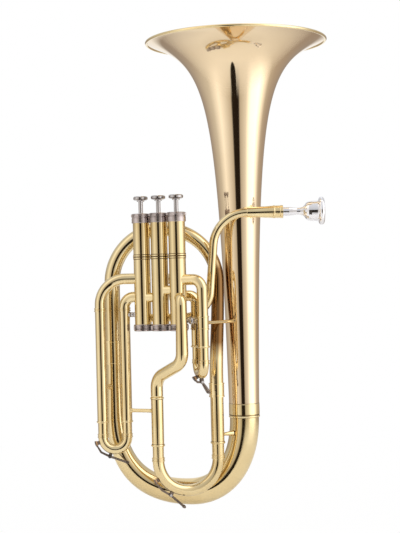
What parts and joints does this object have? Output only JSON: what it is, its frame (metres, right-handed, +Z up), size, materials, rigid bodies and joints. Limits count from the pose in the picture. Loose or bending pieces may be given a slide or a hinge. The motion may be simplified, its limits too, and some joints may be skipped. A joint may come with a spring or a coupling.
{
  "type": "baritone horn",
  "caption": "Upright brass horn in lacquered yellow brass with a flared bell, piston valves, drawn slides, water keys and a silver-plated mouthpiece",
  "frame": {"origin": "middle of the bounding box in X and Y, on the underside of the bottom bow", "axes": "+Z up the bell, +X towards the mouthpiece, -Y towards the side the valves stand on"},
  "size_m": [0.2852, 0.216, 0.5503],
  "materials": {
    "lacquered_brass": "bright polish under clear lacquer",
    "nickel": "polished nickel plate",
    "silver_plate": "polished silver plate",
    "dark_nickel": "darkened nickel, satin",
    "cork": "matte cork",
    "felt": "matte felt"
  },
  "bodies": {
    "horn": {"bell": "lacquered_brass", "bell_ferrule": "lacquered_brass", "bottom_bow": "lacquered_brass", "left_ferrule": "lacquered_brass", "top_bow": "lacquered_brass", "branch_ferrule": "lacquered_brass", "main_sleeve_right": "lacquered_brass", "main_sleeve_left": "lacquered_brass", "valve_outlet": "lacquered_brass", "leadpipe": "lacquered_brass", "mouthpiece_receiver": "lacquered_brass", "valve_casing_1": "lacquered_brass", "valve_casing_2": "lacquered_brass", "valve_casing_3": "lacquered_brass", "top_cap_1": "nickel", "top_cap_2": "nickel", "top_cap_3": "nickel", "bottom_cap_1": "nickel", "bottom_cap_2": "nickel", "bottom_cap_3": "nickel", "valve_knuckles": "lacquered_brass", "first_slide_sleeves": "lacquered_brass", "second_slide_sleeves": "lacquered_brass", "third_slide_sleeves": "lacquered_brass", "slide_brace": "lacquered_brass", "bell_stay": "lacquered_brass", "ball_braces": "nickel", "receiver_post": "lacquered_brass", "third_slide_stay": "lacquered_brass", "bow_stay": "lacquered_brass"},
    "piston_1_body": {"piston_1": "nickel", "finger_button_1": "nickel", "piston_spring_1": "nickel", "piston_felt_1": "felt"},
    "piston_2_body": {"piston_2": "nickel", "finger_button_2": "nickel", "piston_spring_2": "nickel", "piston_felt_2": "felt"},
    "piston_3_body": {"piston_3": "nickel", "finger_button_3": "nickel", "piston_spring_3": "nickel", "piston_felt_3": "felt"},
    "main_slide": {"main_crook": "lacquered_brass", "main_key_saddle": "dark_nickel"},
    "first_slide": {"first_crook": "lacquered_brass", "first_key_saddle": "dark_nickel"},
    "second_slide": {"second_crook": "lacquered_brass", "second_slide_knob": "lacquered_brass"},
    "third_slide": {"third_crook": "lacquered_brass", "third_key_saddle": "dark_nickel"},
    "main_key": {"main_key_lever": "dark_nickel", "main_key_cork": "cork"},
    "first_key": {"first_key_lever": "dark_nickel", "first_key_cork": "cork"},
    "third_key": {"third_key_lever": "dark_nickel", "third_key_cork": "cork"},
    "mouthpiece_body": {"mouthpiece": "silver_plate"}
  },
  "joints": [
    {"name": "valve_1_press", "type": "slide", "parent": "horn", "child": "piston_1_body", "axis": [0, 0, -1], "range_m": [0, 0.013], "stiffness_N_per_m": 150, "springref_m": -0.014, "deforming": ["piston_spring_1"]},
    {"name": "valve_2_press", "type": "slide", "parent": "horn", "child": "piston_2_body", "axis": [0, 0, -1], "range_m": [0, 0.013], "stiffness_N_per_m": 150, "springref_m": -0.014, "deforming": ["piston_spring_2"]},
    {"name": "valve_3_press", "type": "slide", "parent": "horn", "child": "piston_3_body", "axis": [0, 0, -1], "range_m": [0, 0.013], "stiffness_N_per_m": 150, "springref_m": -0.014, "deforming": ["piston_spring_3"]},
    {"name": "main_slide_draw", "type": "slide", "parent": "horn", "child": "main_slide", "axis": [0, 0, -1], "range_m": [-0.0125, 0.035]},
    {"name": "first_slide_draw", "type": "slide", "parent": "horn", "child": "first_slide", "axis": [0, 0, -1], "range_m": [-0.0135, 0.028]},
    {"name": "second_slide_draw", "type": "slide", "parent": "horn", "child": "second_slide", "axis": [0.454, 0.891, 0], "range_m": [-0.0035, 0.01]},
    {"name": "third_slide_draw", "type": "slide", "parent": "horn", "child": "third_slide", "axis": [0, 0, -1], "range_m": [-0.0125, 0.05]},
    {"name": "mouthpiece_pull", "type": "slide", "parent": "horn", "child": "mouthpiece_body", "axis": [1, 0, 0], "range_m": [0, 0.03]},
    {"name": "main_key_press", "type": "hinge", "parent": "main_slide", "child": "main_key", "pos_m": [-0.05434, -0.03718, 0.01727], "axis": [0.211, -0.9775, 0], "range_deg": [0, 12], "stiffness_Nm_per_rad": 0.02, "springref_deg": -8.59},
    {"name": "first_key_press", "type": "hinge", "parent": "first_slide", "child": "first_key", "pos_m": [-0.01496, -0.05284, 0.14902], "axis": [0.2978, -0.9546, 0], "range_deg": [0, 12], "stiffness_Nm_per_rad": 0.02, "springref_deg": -8.59},
    {"name": "third_key_press", "type": "hinge", "parent": "third_slide", "child": "third_key", "pos_m": [-0.12484, -0.022, 0.06195], "axis": [0, -1, 0], "range_deg": [0, 12], "stiffness_Nm_per_rad": 0.02, "springref_deg": -8.59}
  ]
}
